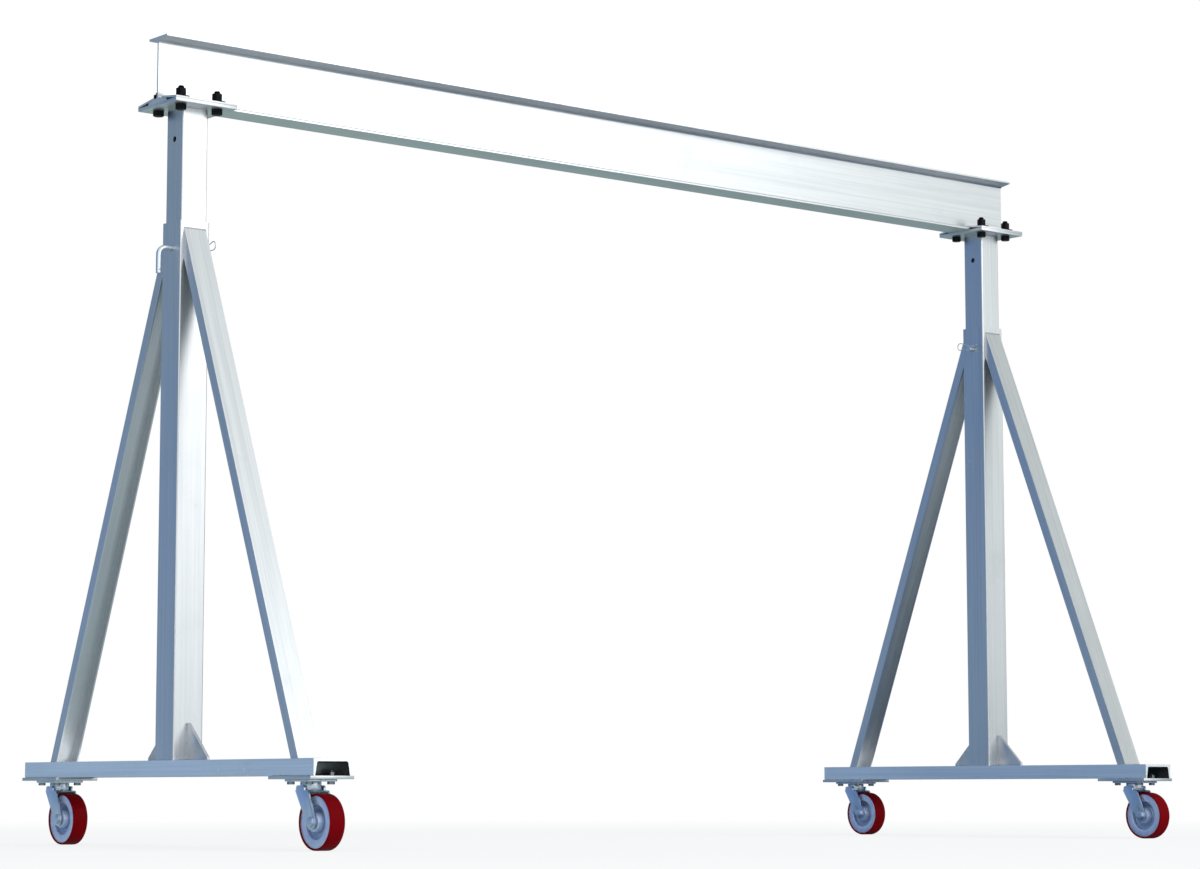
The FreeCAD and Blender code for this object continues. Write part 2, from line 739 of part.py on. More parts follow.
def fork(side, end):
    """Yoke under the race, with two legs that lean back to the axle and rise in ears beside it."""
    body = keep(new_body(f"{side}_{end}_fork"))
    sketch = new_sketch(body, "YZ_Plane", "side")
    leg_outline(sketch)
    pad(body, sketch, "fork_width", symmetric=True)
    round_edges(body, "ear_round", lambda middle, way: lies_along(way, ALONG_X) and (
        near(middle.z, "ear_top") or near(middle.y, "fork_behind") and near(middle.z, "yoke_top")))
    for name, low, high in (("wheel_room", "none", "yoke_base"), ("race_room", "yoke_top", "ear_top")):
        inside = new_sketch(body, "XZ_Plane", name)
        outline(inside, [("-fork_inside", low), ("fork_inside", low),
                         ("fork_inside", high), ("-fork_inside", high)])
        cut(body, inside)
    axle_hole = new_sketch(body, "YZ_Plane", "axle_hole")
    circle(axle_hole, "-caster_trail", "axle_height", "axle_hole")
    cut(body, axle_hole)
    kingpin_hole = new_sketch(body, "XY_Plane", "kingpin_hole")
    circle(kingpin_hole, "none", "none", "kingpin_hole")
    cut(body, kingpin_hole)
    place(body, SIDES[side], ENDS[end])


def leg_outline(sketch):
    """Side view of the fork: an ear over two straight edges that run into the round at the axle."""
    axle = V(-size("caster_trail"), size("axle_height"), 0)
    round_end = size("fork_end_round")
    corners = [
        ("fork_ahead", "yoke_top"), ("ear_side", "yoke_top"), ("ear_side", "ear_top"),
        ("-ear_side", "ear_top"), ("-ear_side", "yoke_top"), ("-fork_behind", "yoke_top"),
    ]
    points = [V(size(across), size(up), 0) for across, up in corners]
    front_touch = tangent_point(axle, round_end, points[0], -1)
    back_touch = tangent_point(axle, round_end, points[-1], 1)
    lowest = V(axle.x, axle.y - round_end, 0)
    edges = [Part.LineSegment(start, end) for start, end in zip(points, points[1:] + [back_touch])]
    edges += [Part.Arc(back_touch, lowest, front_touch), Part.LineSegment(front_touch, points[0])]
    for edge in edges:
        sketch.addGeometry(edge, False)
    back, end, front = range(len(edges) - 3, len(edges))
    for number in range(back):
        sketch.addConstraint(Sketcher.Constraint("Coincident", number, 2, number + 1, 1))
    sketch.addConstraint(Sketcher.Constraint("Tangent", back, 2, end, 1))
    sketch.addConstraint(Sketcher.Constraint("Tangent", end, 2, front, 1))
    sketch.addConstraint(Sketcher.Constraint("Coincident", front, 2, 0, 1))
    for number, (across, up) in enumerate(corners):
        fix_point(sketch, number, 1, across, up)
    fix_point(sketch, end, 3, "-caster_trail", "axle_height")
    number = sketch.addConstraint(Sketcher.Constraint("Radius", end, round_end))
    sketch.setExpression(f"Constraints[{number}]", cell("fork_end_round"))


def tangent_point(middle, radius, outside, turn_way):
    """Where a line from an outside point touches a circle, on the chosen side."""
    line = outside.sub(middle)
    angle = math.atan2(line.y, line.x) + turn_way * math.acos(radius / line.Length)
    return middle.add(V(radius * math.cos(angle), radius * math.sin(angle), 0))


def axle(side, end):
    """Axle bolt through the fork legs and the wheel hub, head outward on the left leg."""
    x, y = cell(SIDES[side]), f"{cell(ENDS[end])} - sizes.caster_trail"
    label = f"{side}_{end}_axle"
    reach = "(sizes.fork_outside + sizes.axle_head)"
    shank = solid("Part::Cylinder", f"{label}_shank", Radius="sizes.axle_diameter / 2", Height=f"2 * {reach}")
    pieces = [turn(shank, ALONG_Y, 90)]
    set_down(shank, f"{x} - {reach}", y, "sizes.axle_height")
    for name, start in (("head", f"{x} - {reach}"), ("nut", f"{x} + sizes.fork_outside")):
        cap = hexagon(f"{label}_{name}", "sizes.axle_hex", "sizes.axle_head", start, y, "sizes.axle_height")
        pieces.append(turn(cap, ALONG_Y, 90))
    keep(fuse(label, pieces))


def wheel_core(side, end):
    """Cast wheel centre: hub, recessed web and rim, turned about the axle."""
    body = keep(new_body(f"{side}_{end}_wheel_core"))
    sketch = new_sketch(body, "XZ_Plane", "section")
    right_half = [
        ("hub_face", "bore_radius"), ("hub_face", "hub_radius"), ("web_face", "hub_root"),
        ("web_face", "rim_bore_web"), ("rim_side", "rim_bore_face"), ("rim_side", "core_radius"),
    ]
    left_half = [("-" + across, up) for across, up in reversed(right_half)]
    outline(sketch, right_half + left_half)
    revolve(body, sketch)
    set_on_axle(body, side, end)


def tread(side, end):
    """Solid tread bonded round the wheel centre, with rounded shoulders."""
    body = keep(new_body(f"{side}_{end}_tread"))
    sketch = new_sketch(body, "XZ_Plane", "section")
    outline(sketch, [("-tread_side", "core_radius"), ("tread_side", "core_radius"),
                     ("tread_side", "tread_radius"), ("-tread_side", "tread_radius")])
    revolve(body, sketch)
    tip = body.Tip
    shoulders = [f"Edge{i}" for i, edge in enumerate(tip.Shape.Edges, start=1)
                 if isinstance(edge.Curve, Part.Circle) and near(edge.Curve.Radius, "tread_radius")]
    rounded = body.newObject("PartDesign::Fillet", f"{body.Name}_shoulders")
    rounded.Base = (tip, shoulders)
    rounded.setExpression("Radius", cell("tread_round"))
    doc.recompute()
    set_on_axle(body, side, end)


def set_on_axle(body, side, end):
    place(body, SIDES[side], ENDS[end], "axle_height")
    body.setExpression("Placement.Base.y", f"{cell(ENDS[end])} - sizes.caster_trail")


def caster_bolts(side):
    """Bolts that hold the casters, heads under the caster plates, nuts inside the rail."""
    bolts = []
    for end in ENDS:
        for across, along in corners_of("caster_bolt_x", "caster_bolt_y"):
            label = f"{side}_{end}_caster_bolt_{len(bolts) + 1}"
            pieces = bolt(label, "sizes.caster_bolt", "sizes.caster_bolt_hex", "sizes.caster_bolt_head",
                          "sizes.caster_nut", "sizes.caster_bolt_tail",
                          f"{cell(SIDES[side])} + {cell(across)}", f"{cell(ENDS[end])} + {cell(along)}",
                          "sizes.swivel_z", "sizes.rail_base")
            bolts.append(fuse(label, pieces))
    group(f"{side}_caster_bolts", bolts)


# ---------------------------------------------------------------- the crane

for leg_side in SIDES:
    base_rail(leg_side)
    caster_mounts(leg_side)
    lower_mast(leg_side)
    upper_mast(leg_side)
    gussets(leg_side)
    height_pin(leg_side)
    pin_clip(leg_side)
    head_plate(leg_side)
    clamp_bars(leg_side)
    beam_bolts(leg_side)
    caster_bolts(leg_side)
    for rail_end in ENDS:
        brace(leg_side, rail_end)
        caster_plate(leg_side, rail_end)
        fork(leg_side, rail_end)
        axle(leg_side, rail_end)
        wheel_core(leg_side, rail_end)
        tread(leg_side, rail_end)
beam()
doc.recompute()

for item in doc.Objects:
    if {"Invalid", "Error"} & set(item.State):
        raise RuntimeError(f"{item.Label} failed: {item.State}")
for part in parts:
    if part.Shape.isNull() or not part.Shape.isValid():
        raise RuntimeError(f"{part.Label} has no valid shape")

os.makedirs("parts", exist_ok=True)
for part in parts:
    part.Shape.exportStep(os.path.join("parts", f"{part.Label}.step"))
print(f"{len(parts)} parts, beam underside {size('head_top'):.0f} mm above the floor")
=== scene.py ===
import json
import math

import bmesh
import bpy
from mathutils import Matrix, Vector

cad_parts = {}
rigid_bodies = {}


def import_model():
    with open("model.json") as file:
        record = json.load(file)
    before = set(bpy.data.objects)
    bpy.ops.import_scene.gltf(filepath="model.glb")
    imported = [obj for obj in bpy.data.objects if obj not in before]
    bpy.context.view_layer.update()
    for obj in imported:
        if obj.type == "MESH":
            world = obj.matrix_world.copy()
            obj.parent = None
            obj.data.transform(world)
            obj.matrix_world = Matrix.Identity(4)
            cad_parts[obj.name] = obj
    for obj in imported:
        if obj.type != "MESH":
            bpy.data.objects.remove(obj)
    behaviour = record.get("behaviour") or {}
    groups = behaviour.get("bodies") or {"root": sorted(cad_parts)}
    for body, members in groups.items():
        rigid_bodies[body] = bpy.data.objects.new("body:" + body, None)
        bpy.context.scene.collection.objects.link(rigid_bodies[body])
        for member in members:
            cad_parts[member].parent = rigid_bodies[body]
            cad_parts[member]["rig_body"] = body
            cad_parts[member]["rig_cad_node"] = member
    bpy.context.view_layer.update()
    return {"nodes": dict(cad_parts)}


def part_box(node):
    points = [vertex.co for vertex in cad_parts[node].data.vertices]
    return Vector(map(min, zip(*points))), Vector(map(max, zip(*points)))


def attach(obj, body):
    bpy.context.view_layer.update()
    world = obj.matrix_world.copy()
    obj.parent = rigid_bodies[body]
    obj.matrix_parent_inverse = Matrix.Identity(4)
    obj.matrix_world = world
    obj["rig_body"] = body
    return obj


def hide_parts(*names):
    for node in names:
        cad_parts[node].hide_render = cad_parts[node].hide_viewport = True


# Aluminium gantry crane on swivel casters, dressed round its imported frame.
# Metres. X runs along the beam, Y along the base rails, Z up; the floor is z = 0.

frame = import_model()

SIDES = ("left", "right")
ENDS = ("front", "rear")
CASTERS = [f"{side}_{end}" for side in SIDES for end in ENDS]
TINY = 1e-5                     # two places closer than this are the same


def middle_of(node):
    low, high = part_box(node)
    return (low + high) / 2


# ---------------------------------------------------------------- camera

CAMERA_PLACE = Vector((-6.684, -7.993, 0.1626))
CAMERA_PITCH, CAMERA_ROLL, CAMERA_YAW = 96.48, -0.04, -39.437

lens = bpy.data.cameras.new("camera")
lens.lens, lens.sensor_width, lens.sensor_fit = 94.28, 36.0, "HORIZONTAL"
lens.clip_start, lens.clip_end = 0.1, 200.0
camera = bpy.data.objects.new("camera", lens)
camera.location = CAMERA_PLACE
camera.rotation_euler = (Matrix.Rotation(math.radians(CAMERA_YAW), 3, "Z")
                         @ Matrix.Rotation(math.radians(CAMERA_PITCH), 3, "X")
                         @ Matrix.Rotation(math.radians(CAMERA_ROLL), 3, "Z")).to_euler()
bpy.context.scene.collection.objects.link(camera)
bpy.context.scene.camera = camera


# ---------------------------------------------------------------- node trees

class Wire:
    """One socket of a node tree; arithmetic on it adds Math nodes."""

    def __init__(self, tree, socket):
        self.tree, self.socket = tree, socket

    def __add__(self, other):
        return self.tree.maths("ADD", self, other)

    __radd__ = __add__

    def __sub__(self, other):
        return self.tree.maths("SUBTRACT", self, other)

    def __rsub__(self, other):
        return self.tree.maths("SUBTRACT", other, self)

    def __mul__(self, other):
        return self.tree.maths("MULTIPLY", self, other)

    __rmul__ = __mul__

    def __abs__(self):
        return self.tree.maths("ABSOLUTE", self)


class Tree:
    """A node tree that grows by one method; its sockets come back as wires."""

    def __init__(self, owner):
        owner.use_nodes = True
        self.nodes, self.links = owner.node_tree.nodes, owner.node_tree.links

    def feed(self, socket, value):
        if isinstance(value, Wire):
            self.links.new(value.socket, socket)
        else:
            socket.default_value = value

    def node(self, kind, sockets=None, output=0, stops=None, **settings):
        """New node: settings and ramp stops first, then the values or links of its sockets."""
        node = self.nodes.new(kind)
        for name, value in settings.items():
            setattr(node, name, value)
        if stops:
            ramp = node.color_ramp.elements
            while len(ramp) < len(stops):
                ramp.new(0.5)
            for element, (position, colour) in zip(ramp, stops):
                element.position, element.color = position, (*colour, 1.0)
        for key, value in (sockets or {}).items():
            self.feed(node.inputs[key], value)
        return Wire(self, node.outputs[output])

    def maths(self, operation, *operands):
        return self.node("ShaderNodeMath", dict(enumerate(operands)), operation=operation)

    def vector(self, operation, *operands):
        return self.node("ShaderNodeVectorMath", dict(enumerate(operands)), operation=operation)

    def dot(self, one, other):
        return self.node("ShaderNodeVectorMath", {0: one, 1: other}, output=1, operation="DOT_PRODUCT")

    def scaled(self, vector, amount):
        return self.node("ShaderNodeVectorMath", {0: vector, 3: amount}, operation="SCALE")

    def mix(self, share, one, other, blend="MIX"):
        return self.node("ShaderNodeMix", {0: share, 6: one, 7: other}, output=2,
                         data_type="RGBA", blend_type=blend, clamp_factor=True)

    def between(self, value, low, high, start=0.0, end=1.0):
        """Start below low, end above high, and an easy curve from one to the other."""
        return self.node("ShaderNodeMapRange", {0: value, 1: low, 2: high, 3: start, 4: end},
                         interpolation_type="SMOOTHSTEP", clamp=True)

    def noise(self, where, scale, detail=3.0, roughness=0.55, distortion=0.0):
        return self.node("ShaderNodeTexNoise", {"Vector": where, "Scale": scale, "Detail": detail,
                                                "Roughness": roughness, "Distortion": distortion})


def rgb(red, green, blue):
    return (red, green, blue, 1.0)


class Finish(Tree):
    """A material: a Principled shader, its object coordinates and the nodes that vary it."""

    def __init__(self, name, **constants):
        self.material = bpy.data.materials.new(name)
        super().__init__(self.material)
        self.shader = self.nodes["Principled BSDF"]
        for socket, value in constants.items():
            self.shader.inputs[socket.replace("_", " ")].default_value = value
        self.place = self.node("ShaderNodeTexCoord", output=3)
        self.facing = self.node("ShaderNodeTexCoord", output=1)

    def set(self, socket, value):
        self.feed(self.shader.inputs[socket], value)

    def drawn_out(self, direction, shrink):
        """Object coordinates squeezed along a direction, so that a texture is drawn out along it."""
        along = self.dot(self.place, direction)
        return self.vector("ADD", self.place, self.scaled(direction, along * (shrink - 1.0)))

    def bumps(self, *layers):
        """Bump nodes in a row, each (height, distance in metres), into the shader's normal."""
        normal = None
        for height, distance in layers:
            sockets = {"Height": height, "Distance": distance, "Strength": 1.0}
            if normal:
                sockets["Normal"] = normal
            normal = self.node("ShaderNodeBump", sockets)
        self.set("Normal", normal)


# ---------------------------------------------------------------- finishes

ALONG_BEAM, ALONG_RAIL, UPRIGHT = (1.0, 0.0, 0.0), (0.0, 1.0, 0.0), (0.0, 0.0, 1.0)
ALUMINIUM = (0.60, 0.62, 0.64)
ALUMINIUM_BRIGHT = (0.74, 0.755, 0.765)
ALUMINIUM_DULL = (0.44, 0.465, 0.49)


def mill_aluminium(name, grain, tone=1.0, hollow=None):
    """Bare aluminium section: die lines and tone streaks along its length, smudges and hairlines.
    A hollow is the left and right extent, either way from x = 0, and the top of an inside darkened by
    painted shade."""
    finish = Finish(name, Metallic=1.0)
    lines = finish.drawn_out(grain, 0.012)
    fine = finish.noise(lines, 1500.0, 2.0)
    streak = finish.noise(lines, 130.0, 4.0, 0.6)
    broad = finish.noise(finish.drawn_out(grain, 0.06), 14.0, 3.0)
    cloud = finish.noise(finish.place, 5.5, 5.0, 0.6)
    mottle = finish.noise(finish.place, 70.0, 4.0, 0.65)
    strays = finish.noise(finish.drawn_out((0.57, 0.60, 0.56), 0.10), 26.0, 2.0, 0.4)
    hairline = (finish.between(abs(strays - 0.5), 0.0005, 0.0035, 1.0, 0.0)
                * finish.between(cloud, 0.52, 0.60))
    sawn = finish.between(abs(finish.dot(finish.facing, grain)), 0.90, 0.96)
    saw_marks = finish.node("ShaderNodeTexWave", {"Vector": finish.place, "Scale": 260.0, "Distortion": 3.0,
                                                  "Detail": 2.0}, output=1, bands_direction="Z")
    colour = finish.mix(finish.between(streak, 0.30, 0.72), rgb(*ALUMINIUM_DULL), rgb(*ALUMINIUM_BRIGHT))
    colour = finish.mix(0.70, colour, rgb(*ALUMINIUM))
    colour = finish.mix(finish.between(broad, 0.35, 0.75) * 0.28, colour, rgb(*ALUMINIUM_BRIGHT))
    colour = finish.mix(finish.between(cloud, 0.50, 0.78) * 0.22, colour, rgb(0.47, 0.49, 0.50))
    colour = finish.mix(finish.between(mottle, 0.62, 0.74) * 0.18, colour, rgb(0.40, 0.42, 0.45))
    colour = finish.mix(hairline * 0.7, colour, rgb(0.83, 0.84, 0.85))
    colour = finish.mix(sawn * 0.6, colour, rgb(0.78, 0.79, 0.80))
    if hollow:
        near, far, top = hollow
        across, up = abs(finish.dot(finish.place, ALONG_BEAM)), finish.dot(finish.place, UPRIGHT)
        # Painted shade: inside the hollow, below its top and off the sawn ends, the colour is darkened by
        # two thirds.
        hollow_shade = (finish.between(across, near - 0.001, near)
                 * finish.between(across, far, far + 0.001, 1.0, 0.0)
                 * finish.between(up, top, top + 0.001, 1.0, 0.0))
        tone = tone * (1.0 - 0.66 * hollow_shade * (1.0 - sawn))
    # Tone scales the colour; the rail's tone of 1.4 is painted light.
    finish.set("Base Color", finish.scaled(colour, tone))
    finish.set("Roughness", 0.25 + 0.10 * streak + 0.10 * cloud + 0.05 * fine + 0.10 * sawn)
    finish.bumps((streak, 0.00010), (fine * (1.0 - sawn) + saw_marks * sawn, 0.00004),
                 (hairline, -0.00005))
    return finish.material


def plate_aluminium():
    """Sawn and rolled plate: duller, with faint rolling grain and handling marks."""
    finish = Finish("plate_aluminium", Metallic=1.0)
    grain = finish.noise(finish.drawn_out((0.0, 1.0, 0.0), 0.05), 420.0, 3.0)
    cloud = finish.noise(finish.place, 16.0, 5.0, 0.62)
    marks = finish.between(finish.noise(finish.place, 150.0, 3.0, 0.7), 0.63, 0.72)
    colour = finish.mix(finish.between(cloud, 0.3, 0.75), rgb(0.66, 0.68, 0.70), rgb(0.54, 0.56, 0.585))
    colour = finish.mix(marks * 0.35, colour, rgb(0.36, 0.38, 0.40))
    finish.set("Base Color", colour)
    finish.set("Roughness", 0.30 + 0.14 * cloud + 0.06 * grain)
    finish.bumps((grain, 0.00006), (marks, -0.00008))
    return finish.material


def weld_aluminium():
    """Weld metal: bright crests, sooty toes and fine solidification ripples."""
    finish = Finish("weld_aluminium", Metallic=1.0)
    ripple = finish.noise(finish.place, 900.0, 2.0)
    soot = finish.between(finish.noise(finish.place, 55.0, 4.0, 0.65), 0.48, 0.72)
    finish.set("Base Color", finish.mix(soot, rgb(0.50, 0.52, 0.54), rgb(0.30, 0.31, 0.32)))
    finish.set("Roughness", 0.38 + 0.20 * soot + 0.08 * ripple)
    finish.bumps((ripple, 0.00012))
    return finish.material


def black_oxide():
    """Chemically blackened bolts: satin black with brownish patches and rubbed high spots."""
    finish = Finish("black_oxide", Metallic=0.0, Specular_IOR_Level=0.10)
    patch = finish.noise(finish.place, 120.0, 4.0, 0.6)
    rub = finish.between(finish.noise(finish.place, 480.0, 3.0, 0.7), 0.66, 0.76)
    colour = finish.mix(patch, rgb(0.0015, 0.0015, 0.0022), rgb(0.004, 0.0035, 0.0035))
    colour = finish.mix(rub * 0.4, colour, rgb(0.022, 0.021, 0.020))
    finish.set("Base Color", colour)
    finish.set("Roughness", 0.34 + 0.16 * patch - 0.08 * rub)
    finish.bumps((patch, 0.00005))
    return finish.material


def bright_zinc():
    """Bright zinc plate on pressed steel: faint blue clouds over fine scuffs."""
    finish = Finish("bright_zinc", Metallic=1.0)
    cloud = finish.noise(finish.place, 38.0, 4.0, 0.6)
    tint = finish.noise(finish.place, 17.0, 2.0)
    scuff = finish.between(finish.noise(finish.place, 320.0, 4.0, 0.75), 0.60, 0.74)
    colour = finish.mix(finish.between(tint, 0.35, 0.70), rgb(0.60, 0.67, 0.77), rgb(0.66, 0.71, 0.76))
    colour = finish.mix(finish.between(cloud, 0.45, 0.75) * 0.30, colour, rgb(0.50, 0.56, 0.64))
    colour = finish.mix(scuff * 0.25, colour, rgb(0.42, 0.44, 0.46))
    finish.set("Base Color", colour)
    finish.set("Roughness", 0.26 + 0.10 * cloud + 0.12 * scuff)
    finish.bumps((cloud, 0.00012), (scuff, -0.00003))
    return finish.material


def dark_steel():
    """Plain steel bolts with an oily heat-treated skin."""
    finish = Finish("dark_steel", Metallic=1.0)
    cloud = finish.noise(finish.place, 150.0, 4.0, 0.6)
    finish.set("Base Color", finish.mix(cloud, rgb(0.20, 0.22, 0.25), rgb(0.32, 0.33, 0.35)))
    finish.set("Roughness", 0.28 + 0.22 * cloud)
    finish.bumps((cloud, 0.00006))
    return finish.material


def cast_wheel():
    """Cast wheel centre under thin silver-grey enamel: orange peel, pores and painted shade in the recess.
    """
    finish = Finish("cast_wheel", Metallic=0.65, Coat_Weight=0.20, Coat_Roughness=0.20)
    skin = finish.noise(finish.place, 330.0, 3.0, 0.55)
    cloud = finish.noise(finish.place, 45.0, 4.0, 0.6)
    pores = finish.between(finish.noise(finish.place, 640.0, 2.0, 0.6), 0.70, 0.77)
    from_middle = abs(abs(finish.dot(finish.place, ALONG_BEAM)) - middle_of("right_front_wheel_core").x)
    # Painted shade: the recess between hub and rim is darkened to blue-grey, patchy with the cloud.
    recess = finish.between(from_middle, 0.0075, 0.0205, 1.0, 0.0)
    colour = finish.mix(finish.between(cloud, 0.3, 0.7), rgb(0.50, 0.60, 0.80), rgb(0.60, 0.69, 0.86))
    colour = finish.mix(recess * (0.45 + 0.30 * cloud), colour, rgb(0.20, 0.27, 0.42))
    colour = finish.mix(pores * 0.6, colour, rgb(0.16, 0.17, 0.20))
    finish.set("Base Color", colour)
    finish.set("Roughness", 0.30 + 0.18 * skin + 0.10 * pores)
    finish.bumps((skin, 0.00016), (pores, -0.0002))
    return finish.material


def red_polyurethane():
    """Cast polyurethane tread: deep red, satin, with a little dust on its running face."""
    finish = Finish("red_polyurethane", Metallic=0.0, IOR=1.45, Specular_IOR_Level=0.03)
    dust = finish.between(finish.noise(finish.place, 60.0, 5.0, 0.68), 0.54, 0.76)
    grit = finish.between(finish.noise(finish.place, 520.0, 3.0, 0.7), 0.62, 0.72)
    swirl = finish.noise(finish.place, 22.0, 3.0, 0.6)
    colour = finish.mix(swirl, rgb(0.135, 0.0004, 0.0024), rgb(0.200, 0.0007, 0.0036))
    colour = finish.mix(dust * 0.05, colour, rgb(0.22, 0.020, 0.020))
    colour = finish.mix(grit * 0.35, colour, rgb(0.070, 0.002, 0.003))
    finish.set("Base Color", colour)
    finish.set("Roughness", 0.46 + 0.18 * dust + 0.10 * grit)
    finish.bumps((grit, -0.00012), (swirl, 0.0002))
    return finish.material


def black_rubber():
    """Bearing seals."""
    finish = Finish("black_rubber", Metallic=0.0)
    skin = finish.noise(finish.place, 500.0, 3.0)
    finish.set("Base Color", finish.mix(skin, rgb(0.012, 0.012, 0.013), rgb(0.030, 0.030, 0.031)))
    finish.set("Roughness", 0.45 + 0.25 * skin)
    finish.bumps((skin, 0.00005))
    return finish.material


rail_low, rail_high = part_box("right_base_rail")
# Extent of the rail's channel, whose inside gets painted shade.
RAIL_HOLLOW = (rail_low.x + 0.002, rail_high.x - 0.002, rail_high.z - 0.002)
low_foot, high_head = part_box("left_front_brace")
slope = Vector((0.0, low_foot.y - high_head.y, low_foot.z - high_head.z)).normalized()
aluminium = {
    "beam": mill_aluminium("mill_beam", ALONG_BEAM),
    # The rail's copy of mill aluminium has its colour brightened 1.4 times: painted light.
    "rail": mill_aluminium("mill_rail", ALONG_RAIL, 1.4, RAIL_HOLLOW),
    "mast": mill_aluminium("mill_mast", UPRIGHT),
    "front": mill_aluminium("mill_front_brace", (0.0, slope.y, slope.z)),
    "rear": mill_aluminium("mill_rear_brace", (0.0, -slope.y, slope.z)),
    "plate": plate_aluminium(),
    "weld": weld_aluminium(),
}
black_bolt, zinc, caster_bolt_steel = black_oxide(), bright_zinc(), dark_steel()
wheel_enamel, tread_red, seal_rubber = cast_wheel(), red_polyurethane(), black_rubber()


def wear(node, material):
    """Gives a CAD node its finish."""
    mesh_object = frame["nodes"][node]
    if not mesh_object.material_slots:
        mesh_object.data.materials.append(material)
    for slot in mesh_object.material_slots:
        slot.material = material


# ---------------------------------------------------------------- modelling helpers

def object_mode():
    if bpy.context.object and bpy.context.object.mode != "OBJECT":
        bpy.ops.object.mode_set(mode="OBJECT")


def only(*pieces):
    """Selects just these objects, the first one active."""
    object_mode()
    bpy.ops.object.select_all(action="DESELECT")
    for piece in pieces:
        piece.select_set(True)
    if pieces:
        bpy.context.view_layer.objects.active = pieces[0]


def pick(piece, test, kind="faces"):
    """In edit mode, selects the faces, edges or vertices that pass a test."""
    mesh = bmesh.from_edit_mesh(piece.data)
    bpy.ops.mesh.select_all(action="DESELECT")
    bpy.context.tool_settings.mesh_select_mode = (kind == "verts", kind == "edges", kind == "faces")
    for element in getattr(mesh, kind):
        element.select = bool(test(element))
    mesh.select_flush_mode()
    bmesh.update_edit_mesh(piece.data)


def start(name, primitive, **sizes):
    """Adds a primitive at its size and place, ready in edit mode with all of it selected."""
    only()
    getattr(bpy.ops.mesh, f"primitive_{primitive}_add")(**sizes)
    piece = bpy.context.object
    piece.name = piece.data.name = name
    bpy.ops.object.transform_apply(location=True, rotation=True, scale=True)
    bpy.ops.object.mode_set(mode="EDIT")
    bpy.ops.mesh.select_all(action="SELECT")
    return piece


def modify(piece, kind, **settings):
    """Adds a modifier and applies it."""
    only(piece)
    modifier = piece.modifiers.new(kind.lower(), kind)
    for name, value in settings.items():
        setattr(modifier, name, value)
    bpy.ops.object.modifier_apply(modifier=modifier.name)


def joined(name, pieces):
    only(*pieces)
    bpy.ops.object.join()
    whole = bpy.context.object
    whole.name = whole.data.name = name
    return whole


def copy_of(piece, name, change=Matrix.Identity(4)):
    """A copy with its own mesh, moved by a matrix."""
    twin = piece.copy()
    twin.data = piece.data.copy()
    twin.name = twin.data.name = name
    bpy.context.scene.collection.objects.link(twin)
    twin.data.transform(change)
    return twin


def drop(*pieces):
    for piece in pieces:
        bpy.data.meshes.remove(piece.data)


def turned(name, rings, segments=48, bored=False):
    """Turned piece about Z: rings of (height, radius), each drawn out of the one before it."""
    height, radius = rings[0]
    piece = start(name, "circle", vertices=segments, radius=radius, location=(0, 0, height))
    for next_height, next_radius in rings[1:]:
        bpy.ops.mesh.extrude_edges_move(TRANSFORM_OT_translate={"value": (0, 0, next_height - height)})
        share = next_radius / radius
        bpy.ops.transform.resize(value=(share, share, 1), center_override=(0, 0, next_height))
        height, radius = next_height, next_radius
    if bored:
        pick(piece, lambda edge: edge.is_boundary, "edges")
        bpy.ops.mesh.bridge_edge_loops()
    else:
        for end in (rings[0][0], rings[-1][0]):
            pick(piece, lambda edge: edge.is_boundary and abs(edge.verts[0].co.z - end) < TINY, "edges")
            bpy.ops.mesh.edge_face_add()
    bpy.ops.mesh.select_all(action="SELECT")
    bpy.ops.mesh.normals_make_consistent(inside=False)
    object_mode()
    return piece


def hexagon(name, flats, low, high, chamfer_low=False, chamfer_high=True, turn=0.0):
    """Hexagonal head or nut whose corners are turned away to a cone."""
    corner = flats / math.sqrt(3)
    blank = start(name, "cylinder", vertices=6, radius=corner, depth=high - low,
                  location=(0, 0, (low + high) / 2), rotation=(0, 0, turn))
    object_mode()
    fall = (corner - flats / 2) * 0.62
    flat = flats / 2 * 0.985
    rings = [(low - TINY, flat), (low + fall, corner)] if chamfer_low else [(low - TINY, corner)]
    rings += [(high - fall, corner), (high + TINY, flat)] if chamfer_high else [(high + TINY, corner)]
    cone = turned("corner_cone", rings, 48)
    modify(blank, "BOOLEAN", operation="INTERSECT", object=cone, solver="EXACT")
    drop(cone)
    return blank


def thread(low, high, diameter, pitch=0.002):
    """Rings of a threaded end, rounded over at its tip."""
    crest, root = diameter / 2, diameter / 2 - 0.6 * pitch
    rings = [(low, root)]
    height = low
    while height + pitch < high - 0.3 * pitch:
        rings += [(height + 0.5 * pitch, crest), (height + pitch, root)]
        height += pitch
    return rings + [(high - 0.0006, root - 0.0002), (high - 0.0002, root - 0.0010), (high, root - 0.0022)]


def finished(piece, body, material, replaces=(), smooth=34.0):
    """Shades a piece, gives it its finish and hangs it on its body."""
    only(piece)
    bpy.ops.object.shade_smooth_by_angle(angle=math.radians(smooth))
    if material:
        piece.data.materials.clear()
        piece.data.materials.append(material)
    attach(piece, body)
    if replaces:
        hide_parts(*replaces)
    return piece


def softened(node, material, width, segments=2, limit=32.0):
    """A CAD node again with its sharp edges eased; it stands for the node."""
    source = frame["nodes"][node]
    piece = copy_of(source, f"{node}_eased")
    piece.parent = None
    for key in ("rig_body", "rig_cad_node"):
        del piece[key]
    only(piece)
    bpy.ops.object.mode_set(mode="EDIT")
    bpy.ops.mesh.select_all(action="SELECT")
    bpy.ops.mesh.remove_doubles(threshold=TINY)
    bpy.ops.mesh.dissolve_limited(angle_limit=math.radians(0.6))
    object_mode()
    bpy.ops.mesh.customdata_custom_splitnormals_clear()
    modify(piece, "BEVEL", width=width, segments=segments, limit_method="ANGLE",
           angle_limit=math.radians(limit), use_clamp_overlap=True, harden_normals=False)
    return finished(piece, source["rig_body"], material, [node])


# ---------------------------------------------------------------- sections and plates

